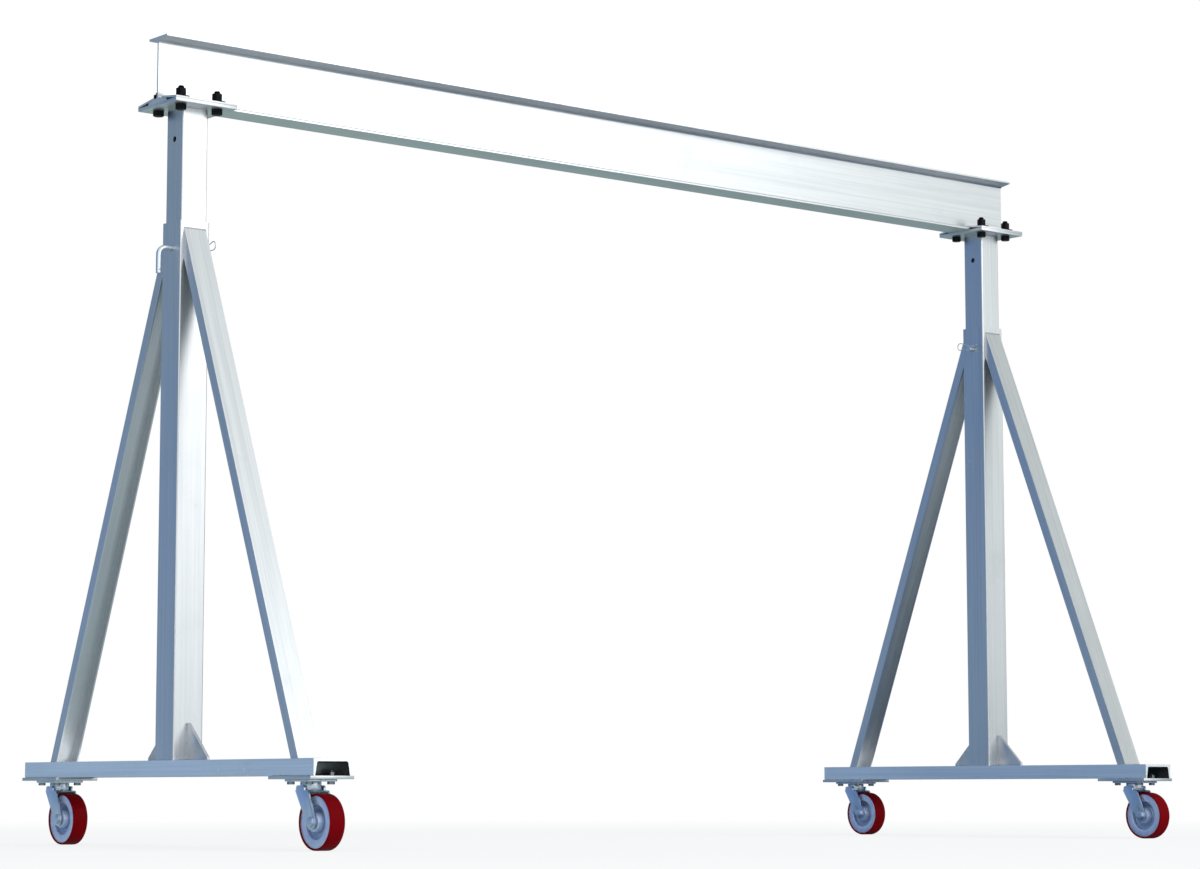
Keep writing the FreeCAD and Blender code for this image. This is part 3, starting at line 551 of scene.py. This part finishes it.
wear("beam", aluminium["beam"])
for side in SIDES:
    wear(f"{side}_lower_mast", aluminium["mast"])
    wear(f"{side}_upper_mast", aluminium["mast"])
    for end in ENDS:
        wear(f"{side}_{end}_brace", aluminium[end])
    wear(f"{side}_pin_clip", zinc)
    wear(f"{side}_base_rail", aluminium["rail"])
    softened(f"{side}_gussets", aluminium["plate"], 0.0010)
    softened(f"{side}_caster_mounts", aluminium["plate"], 0.0010)
    softened(f"{side}_head_plate", aluminium["plate"], 0.0012)
    softened(f"{side}_clamp_bars", aluminium["beam"], 0.0010)
    softened(f"{side}_height_pin", zinc, 0.0012, 3, 50.0)


# ---------------------------------------------------------------- bolts

NUT_TURN = 0.35                 # a nut never lines up with its head


def bolt(name, seat, nut_seat, tip, shank, flats, head, nut):
    """Bolt about Z: head under its seat, nut above its own, threaded end up to the tip."""
    pieces = [
        hexagon(f"{name}_head", flats, seat - head, seat - 0.0004, chamfer_low=True, chamfer_high=False),
        turned(f"{name}_head_ring", [(seat - 0.0008, flats * 0.46), (seat, flats * 0.46)], 32),
        hexagon(f"{name}_nut", flats, nut_seat, nut_seat + nut, chamfer_low=True, turn=NUT_TURN),
        turned(f"{name}_end", thread(nut_seat + nut - 0.004, tip, shank), 32),
    ]
    return joined(name, pieces)


BEAM_BOLT = {"shank": 0.01905, "flats": 0.0286, "head": 0.016, "nut": 0.023}
BEAM_BOLT_OFF = 0.0635          # beam centre and mast centre to each bolt
BEAM_BOLT_TAIL = 0.008          # bolt end above its nut
WASHER_SIDE, WASHER_BLANK = 0.038, 0.008
WASHER_CUT, WASHER_SINK, WASHER_HEEL = 0.0044, 0.0008, 0.0024
BAR_EDGE, BAR_RUN = 0.0063, 0.081       # clamp bar: thickness at its edge, level run of its slope
plate_low, plate_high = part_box("left_head_plate")
bar_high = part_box("left_clamp_bars")[1]
bolt_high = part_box("left_beam_bolts")[1]
washer_top = bolt_high.z - BEAM_BOLT_TAIL - BEAM_BOLT["nut"]
BAR_RISE = (bar_high.z - BAR_EDGE - plate_high.z) / BAR_RUN     # slope of the clamp bars


def bevelled_washer(name):
    """Square wedge washer, for the front bolts: flat above, sloping below like the clamp bar."""
    piece = start(name, "cube", size=1.0, scale=(WASHER_SIDE, WASHER_SIDE, WASHER_BLANK),
                  location=(0, 0, washer_top - WASHER_BLANK / 2))
    pick(piece, lambda vertex: vertex.co.z < washer_top - WASHER_BLANK / 2, "verts")
    bpy.ops.transform.translate(value=(0, 0, WASHER_CUT))
    pick(piece, lambda vertex: vertex.co.z < washer_top - TINY and vertex.co.y < 0, "verts")
    bpy.ops.transform.translate(value=(0, 0, -BAR_RISE * WASHER_SIDE - WASHER_SINK))
    pick(piece, lambda vertex: vertex.co.z < washer_top - TINY and vertex.co.y > 0, "verts")
    bpy.ops.transform.translate(value=(0, 0, -WASHER_SINK + WASHER_HEEL))
    object_mode()
    modify(piece, "BEVEL", width=0.0007, segments=2, limit_method="ANGLE", angle_limit=math.radians(30))
    return piece


front_bolt = joined("front_beam_bolt", [
    bolt("beam_bolt", plate_low.z, washer_top, bolt_high.z, **BEAM_BOLT),
    bevelled_washer("beam_washer"),
])
for side in SIDES:
    centre = middle_of(f"{side}_head_plate")
    sets = []
    for across in (-1, 1):
        for turn in (0.0, math.pi):
            along = -BEAM_BOLT_OFF if turn == 0.0 else BEAM_BOLT_OFF
            move = (Matrix.Translation((centre.x + across * BEAM_BOLT_OFF, along, 0))
                    @ Matrix.Rotation(turn, 4, "Z"))
            sets.append(copy_of(front_bolt, "beam_bolt_copy", move))
    finished(joined(f"{side}_beam_bolt_set", sets), "crane", black_bolt,
             [f"{side}_beam_bolts"])
drop(front_bolt)

CASTER_BOLT = {"shank": 0.0127, "flats": 0.019, "head": 0.008, "nut": 0.011}
CASTER_BOLT_X, CASTER_BOLT_Y = 0.036, 0.046
CASTER_PLATE = 0.0064           # thickness of the caster's top plate
caster_plate_low, caster_plate_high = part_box("left_front_caster_plate")
caster_head_seat = caster_plate_high.z - CASTER_PLATE
caster_nut_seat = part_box("left_caster_mounts")[1].z
caster_bolt = bolt("caster_bolt", caster_head_seat, caster_nut_seat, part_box("left_caster_bolts")[1].z,
                   **CASTER_BOLT)
for side in SIDES:
    sets = []
    for end in ENDS:
        centre = middle_of(f"{side}_{end}_caster_plate")
        for across in (-1, 1):
            for along in (-1, 1):
                move = Matrix.Translation((centre.x + across * CASTER_BOLT_X,
                                           centre.y + along * CASTER_BOLT_Y, 0))
                sets.append(copy_of(caster_bolt, "caster_bolt_copy", move))
    finished(joined(f"{side}_caster_bolt_set", sets), "crane", caster_bolt_steel,
             [f"{side}_caster_bolts"])
drop(caster_bolt)


# ---------------------------------------------------------------- casters

race_radius, race_depth = 0.0295, 0.024
swivel_z = caster_head_seat
kingpin_base = caster_plate_low.z
yoke_gap_z = swivel_z - race_depth


def caster_plate():
    """Top plate with rounded corners and eased edges, swivel race with its seal groove, kingpin."""
    low, high = caster_plate_low, caster_plate_high
    plate = start("plate_blank", "cube", size=1.0,
                  scale=(high.x - low.x, high.y - low.y, high.z - swivel_z),
                  location=(0, 0, (high.z + swivel_z) / 2))
    pick(plate, lambda edge: abs(edge.verts[0].co.z - edge.verts[1].co.z) > 0.001, "edges")
    bpy.ops.mesh.bevel(offset=0.009, segments=6, affect="EDGES")
    object_mode()
    modify(plate, "BEVEL", width=0.0008, segments=2, limit_method="ANGLE", angle_limit=math.radians(50))
    r, top, base = race_radius, swivel_z, yoke_gap_z
    race = turned("race", [
        (top + 0.001, r - 0.0030), (top, r - 0.0016), (top - 0.0010, r - 0.0004), (top - 0.0022, r),
        (top - 0.0100, r), (top - 0.0106, r - 0.0010), (top - 0.0122, r - 0.0010), (top - 0.0128, r),
        (base + 0.0022, r), (base + 0.0008, r - 0.0005), (base, r - 0.0018),
    ], 64)
    kingpin = turned("kingpin", [
        (base + 0.001, 0.0095), (kingpin_base + 0.008, 0.0095), (kingpin_base + 0.0078, 0.0128),
        (kingpin_base + 0.0068, 0.0135), (kingpin_base + 0.0030, 0.0135), (kingpin_base + 0.0010, 0.0118),
        (kingpin_base, 0.0085),
    ], 40)
    return joined("caster_top", [plate, race, kingpin])


def about_x(centre):
    """Turns a piece made about Z to lie about X at a centre."""
    return Matrix.Translation(centre) @ Matrix.Rotation(math.pi / 2, 4, "Y")


wheel_radius = 0.07875
core_radius = wheel_radius - 0.0055
BORE = 0.00958


def mirrored(half):
    """Rings of a profile given for the upper half, completed below by its mirror image."""
    return half + [(-height, radius) for height, radius in reversed(half)]


def wheel_core():
    """Cast centre: machined hub faces, drafted recess with fillets, and a rim that carries the tread."""
    outer = [
        (0.0290, 0.0155), (0.0290, 0.0238), (0.0284, 0.0256), (0.0268, 0.0266), (0.0120, 0.0290),
        (0.0088, 0.0300), (0.0074, 0.0318), (0.0070, 0.0345), (0.0070, 0.0410), (0.0076, 0.0444),
        (0.0096, 0.0466), (0.0200, 0.0488), (0.0212, 0.0494), (0.0220, 0.0508), (0.0220, 0.0716),
        (0.0214, 0.0727), (0.0205, core_radius),
    ]
    inner = [(0.0255, 0.0152), (0.0252, 0.0150), (0.0252, BORE + 0.0002)]
    return turned("wheel_centre", mirrored(inner[::-1] + outer), 96, bored=True)


def tread_ring():
    """Tread: bonded inside to the rim, with a crowned running face and round shoulders."""
    shoulder = [
        (0.0212, core_radius - 0.0002), (0.0240, core_radius + 0.0002), (0.0250, core_radius + 0.0010),
        (0.0254, core_radius + 0.0022), (0.0250, core_radius + 0.0034), (0.0240, core_radius + 0.0043),
        (0.0224, core_radius + 0.0050), (0.0200, core_radius + 0.0054), (0.0120, wheel_radius),
    ]
    return turned("tread_ring", [(h, r) for h, r in shoulder] + [(-h, r) for h, r in reversed(shoulder)],
                  128, bored=True)


def bearing_seal():
    """Rubber lip seal sunk in the hub face."""
    return turned("seal", [(0.0262, 0.0100), (0.0272, 0.0106), (0.0272, 0.0128), (0.0278, 0.0133),
                           (0.0278, 0.0146), (0.0270, 0.0151), (0.0256, 0.0151), (0.0256, 0.0100)],
                  48, bored=True)


def axle_bolt(outside, reach):
    """Axle along Z: hex head and locking nut outside the fork legs, washers against them."""
    head = hexagon("axle_head", 0.027, outside + 0.0015, reach, chamfer_high=True)
    head_washer = turned("axle_washer", [(outside, 0.0150), (outside + 0.0003, 0.0156),
                                         (outside + 0.0012, 0.0156), (outside + 0.0016, 0.0150)], 40)
    nut = hexagon("axle_nut", 0.027, -reach + 0.0022, -outside - 0.0015, chamfer_low=True,
                  chamfer_high=False, turn=0.3)
    collar = turned("axle_collar", [(-reach + 0.0030, 0.0118), (-reach + 0.0008, 0.0118),
                                    (-reach + 0.0002, 0.0110), (-reach, 0.0100)], 40)
    nut_washer = copy_of(head_washer, "axle_nut_washer", Matrix.Rotation(math.pi, 4, "X"))
    shank = turned("axle_shank", [(-outside - 0.002, 0.0095), (outside + 0.002, 0.0095)], 40)
    return joined("axle_set", [head, head_washer, nut, collar, nut_washer, shank])


models = {
    "plate": caster_plate(), "core": wheel_core(), "tread": tread_ring(), "seal": bearing_seal(),
    "axle": axle_bolt(0.0365, 0.0455),
}
for caster in CASTERS:
    plate_at = middle_of(f"{caster}_caster_plate")
    swivel = Matrix.Translation((plate_at.x, plate_at.y, 0))
    lay = about_x(middle_of(f"{caster}_wheel_core"))
    finished(copy_of(models["plate"], f"{caster}_swivel_top", swivel), "crane", zinc,
             [f"{caster}_caster_plate"])
    softened(f"{caster}_fork", zinc, 0.0014, 3)
    finished(copy_of(models["axle"], f"{caster}_axle_set", lay), f"{caster}_caster", zinc,
             [f"{caster}_axle"])
    finished(copy_of(models["core"], f"{caster}_wheel_centre", lay), f"{caster}_wheel",
             wheel_enamel, [f"{caster}_wheel_core"])
    finished(copy_of(models["tread"], f"{caster}_tread_ring", lay), f"{caster}_wheel",
             tread_red, [f"{caster}_tread"])
    for number, turn in enumerate((0.0, math.pi), start=1):
        flip = lay @ Matrix.Rotation(turn, 4, "X")
        finished(copy_of(models["seal"], f"{caster}_seal_{number}", flip), f"{caster}_wheel",
                 seal_rubber)
drop(*models.values())


# ---------------------------------------------------------------- welds

WELD_RADIUS, WELD_PITCH = 0.0024, 0.0026
MOUNT_WELD_REACH = 0.206        # how far the mounts' weld runs in from the rail's end
weld_blanks = {}


def weld_blank(length):
    """Bead along X: a slim tube whose every other ring is swollen, closed by round ends."""
    if length not in weld_blanks:
        rings = 2 * round(length / WELD_PITCH)
        piece = start("weld_blank", "cylinder", vertices=10, radius=WELD_RADIUS * 0.86, depth=length,
                      rotation=(0, math.pi / 2, 0))
        pick(piece, lambda edge: abs(edge.verts[0].co.x - edge.verts[1].co.x) > length / 2, "edges")
        bpy.ops.mesh.subdivide(number_cuts=rings - 1)
        step = length / rings
        pick(piece, lambda vertex: round((vertex.co.x + length / 2) / step) % 2, "verts")
        bpy.ops.transform.resize(value=(1, 1.18, 1.18), center_override=(0, 0, 0))
        pick(piece, lambda vertex: abs(vertex.co.x) > length / 2 - TINY, "verts")
        bpy.ops.transform.resize(value=(1, 0.55, 0.55), center_override=(0, 0, 0))
        object_mode()
        weld_blanks[length] = piece
    return weld_blanks[length]


def weld(begin, end):
    begin, end = Vector(begin), Vector(end)
    run = end - begin
    length = round(run.length, 4)
    aim = run.to_track_quat("X", "Z").to_matrix().to_4x4()
    return copy_of(weld_blank(length), "weld", Matrix.Translation((begin + end) / 2) @ aim)


for side in SIDES:
    mast_low, mast_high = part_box(f"{side}_lower_mast")
    inner_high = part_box(f"{side}_upper_mast")[1]
    gusset_low, gusset_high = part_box(f"{side}_gussets")
    mast_x, mast_half = (mast_low.x + mast_high.x) / 2, mast_high.y
    inner_half = inner_high.y
    rail_top, head_under = mast_low.z, inner_high.z
    gusset_half = (gusset_high.x - gusset_low.x) / 2
    inset = 0.006                       # the tubes' rounded corners
    beads = []
    for x, half, z in ((mast_x, mast_half, rail_top), (mast_x, inner_half, head_under)):
        for sign in (-1, 1):
            beads.append(weld((x - half + inset, sign * half, z), (x + half - inset, sign * half, z)))
            beads.append(weld((x + sign * half, -half + inset, z), (x + sign * half, half - inset, z)))
    for way in (-1, 1):
        for face in (-gusset_half, gusset_half):
            x = mast_x + face
            beads.append(weld((x, way * (mast_half + 0.004), rail_top),
                              (x, way * (gusset_high.y - 0.003), rail_top)))
            beads.append(weld((x, way * mast_half, rail_top + 0.004),
                              (x, way * mast_half, gusset_high.z - 0.003)))
    for end, way in zip(ENDS, (-1, 1)):
        brace_low, brace_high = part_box(f"{side}_{end}_brace")
        foot = brace_high.y if way > 0 else -brace_low.y
        run_in, drop_in = 0.0369, 0.0921        # the brace's depth, measured level and upright
        for x in (brace_low.x, brace_high.x):
            beads.append(weld((x, way * (foot - 0.002), rail_top),
                              (x, way * (foot - run_in + 0.002), rail_top)))
            beads.append(weld((x, way * mast_half, brace_high.z - 0.002),
                              (x, way * mast_half, brace_high.z - drop_in + 0.003)))
        beads.append(weld((brace_low.x, way * foot, rail_top), (brace_high.x, way * foot, rail_top)))
        beads.append(weld((brace_low.x, way * mast_half, brace_high.z),
                          (brace_high.x, way * mast_half, brace_high.z)))
        mount_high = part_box(f"{side}_caster_mounts")[1]
        rail_low, rail_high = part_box(f"{side}_base_rail")
        outer, inner = way * (mount_high.y - 0.004), way * (mount_high.y - MOUNT_WELD_REACH)
        for x in (rail_low.x, rail_high.x):
            beads.append(weld((x, outer, mount_high.z), (x, inner, mount_high.z)))
    finished(joined(f"{side}_weld_beads", beads), "crane", aluminium["weld"], smooth=60.0)
drop(*weld_blanks.values())


# ---------------------------------------------------------------- studio

FLOOR_RADIUS = 60.0
# The camera sees pale floor with 78 to 100% white glow over it. Mirror rays see these colours
# instead, fitted to the photograph's view: near floor from left to right, behind, and in front.
NEAR_LEFT, NEAR_RIGHT = (0.42, 0.52, 0.55), (0.07, 0.13, 0.22)
FLOOR_BEHIND, FLOOR_IN_FRONT = (0.42, 0.53, 0.51), (1.35, 1.38, 1.38)

only()
bpy.ops.mesh.primitive_circle_add(vertices=96, radius=FLOOR_RADIUS, fill_type="NGON")
floor = bpy.context.object
floor.name = "floor"
pale = Finish("pale_floor", Roughness=0.85)
pale.set("Base Color", pale.mix(pale.noise(pale.place, 3.0, 4.0),
                                rgb(0.86, 0.86, 0.86), rgb(0.89, 0.89, 0.89)))
distance = pale.node("ShaderNodeVectorMath", {0: pale.place}, output=1, operation="LENGTH")
glow = pale.node("ShaderNodeEmission", {"Color": rgb(1.0, 1.0, 1.0)})
floor_x, floor_y = (pale.dot(pale.place, axis) for axis in ((1.0, 0.0, 0.0), (0.0, 1.0, 0.0)))
mirrored_floor = pale.mix(pale.between(floor_x, -0.5, 1.5), rgb(*NEAR_LEFT), rgb(*NEAR_RIGHT))
mirrored_floor = pale.mix(pale.between(floor_y, 1.5, 4.0), mirrored_floor, rgb(*FLOOR_BEHIND))
mirrored_floor = pale.mix(pale.between(floor_y, -5.0, -2.5, 1.0, 0.0), mirrored_floor, rgb(*FLOOR_IN_FRONT))
dim = pale.node("ShaderNodeEmission", {"Color": mirrored_floor})
paths = pale.node("ShaderNodeLightPath")
seen, glossy = paths, Wire(pale, paths.socket.node.outputs["Is Glossy Ray"])
near = pale.node("ShaderNodeMixShader", {0: glossy, 1: Wire(pale, pale.shader.outputs[0]), 2: dim})
pale.feed(pale.nodes["Material Output"].inputs["Surface"],
          pale.node("ShaderNodeMixShader",
                    {0: pale.between(distance, 1.5, 9.0, 0.78, 1.0) * seen, 1: near, 2: glow}))
floor.data.materials.append(pale.material)

# Light from round the crane by bearing in degrees: 0 is the front, 90 the right, -90 the left.
# The colours are fitted to the tones of the photograph's view. The camera itself sees white.
ROOM = [
    (-180, (0.20, 0.27, 0.34)), (-150, (0.25, 0.43, 0.90)), (-134, (0.085, 0.21, 0.54)),
    (-100, (0.19, 0.27, 0.40)), (-62, (0.95, 1.00, 1.08)), (-46, (1.50, 1.52, 1.55)),
    (-8, (1.15, 1.17, 1.18)), (30, (1.85, 1.87, 1.85)), (38, (1.50, 1.54, 1.52)), (46, (0.92, 0.98, 0.97)),
    (56, (0.52, 0.58, 0.57)), (75, (0.40, 0.45, 0.45)), (134, (0.20, 0.24, 0.26)),
    (180, (0.20, 0.27, 0.34)),
]
LEFT_LOFT = (0.35, 0.43, 0.41)      # high up behind the left
CEILING = (0.85, 0.88, 0.90)

world = bpy.data.worlds.new("studio")
bpy.context.scene.world = world
air = Tree(world)
background = air.nodes["Background"]
way = air.node("ShaderNodeTexCoord", output=0)
east, south, height = (air.dot(way, axis) for axis in ((1.0, 0.0, 0.0), (0.0, -1.0, 0.0), (0.0, 0.0, 1.0)))
compass = air.maths("ARCTAN2", east, south) * (0.5 / math.pi) + 0.5
ring = air.node("ShaderNodeValToRGB", {0: compass}, stops=[
    (bearing / 360 + 0.5, colour) for bearing, colour in ROOM])
lofty = air.between(compass, 0.5 - 143 / 360, 0.5 - 137 / 360, 1.0, 0.0) * air.between(height, 0.08, 0.17)
overhead = air.mix(air.between(height, 0.62, 0.90), air.mix(lofty, ring, rgb(*LEFT_LOFT)), rgb(*CEILING))
studio = air.mix(air.node("ShaderNodeLightPath"), overhead, rgb(1.0, 1.0, 1.0))
air.feed(background.inputs["Color"], studio)


def softbox(name, place, aim, width, height, power, colour=(1.0, 1.0, 1.0)):
    light = bpy.data.lights.new(name, "AREA")
    light.shape, light.size, light.size_y = "RECTANGLE", width, height
    light.energy, light.color = power, colour
    lamp = bpy.data.objects.new(name, light)
    lamp.location = place
    lamp.rotation_euler = (Vector(aim) - Vector(place)).to_track_quat("-Z", "Y").to_euler()
    bpy.context.scene.collection.objects.link(lamp)


KEY_PLACE, KEY_AIM = (3.5, -7.2, 4.6), (0.0, 0.0, 1.2)
KEY_WIDTH, KEY_HEIGHT, KEY_POWER = 3.6, 2.6, 92.0
softbox("key_softbox", KEY_PLACE, KEY_AIM, KEY_WIDTH, KEY_HEIGHT, KEY_POWER)

scene = bpy.context.scene
scene.view_settings.view_transform = "Standard"
scene.view_settings.look = "None"
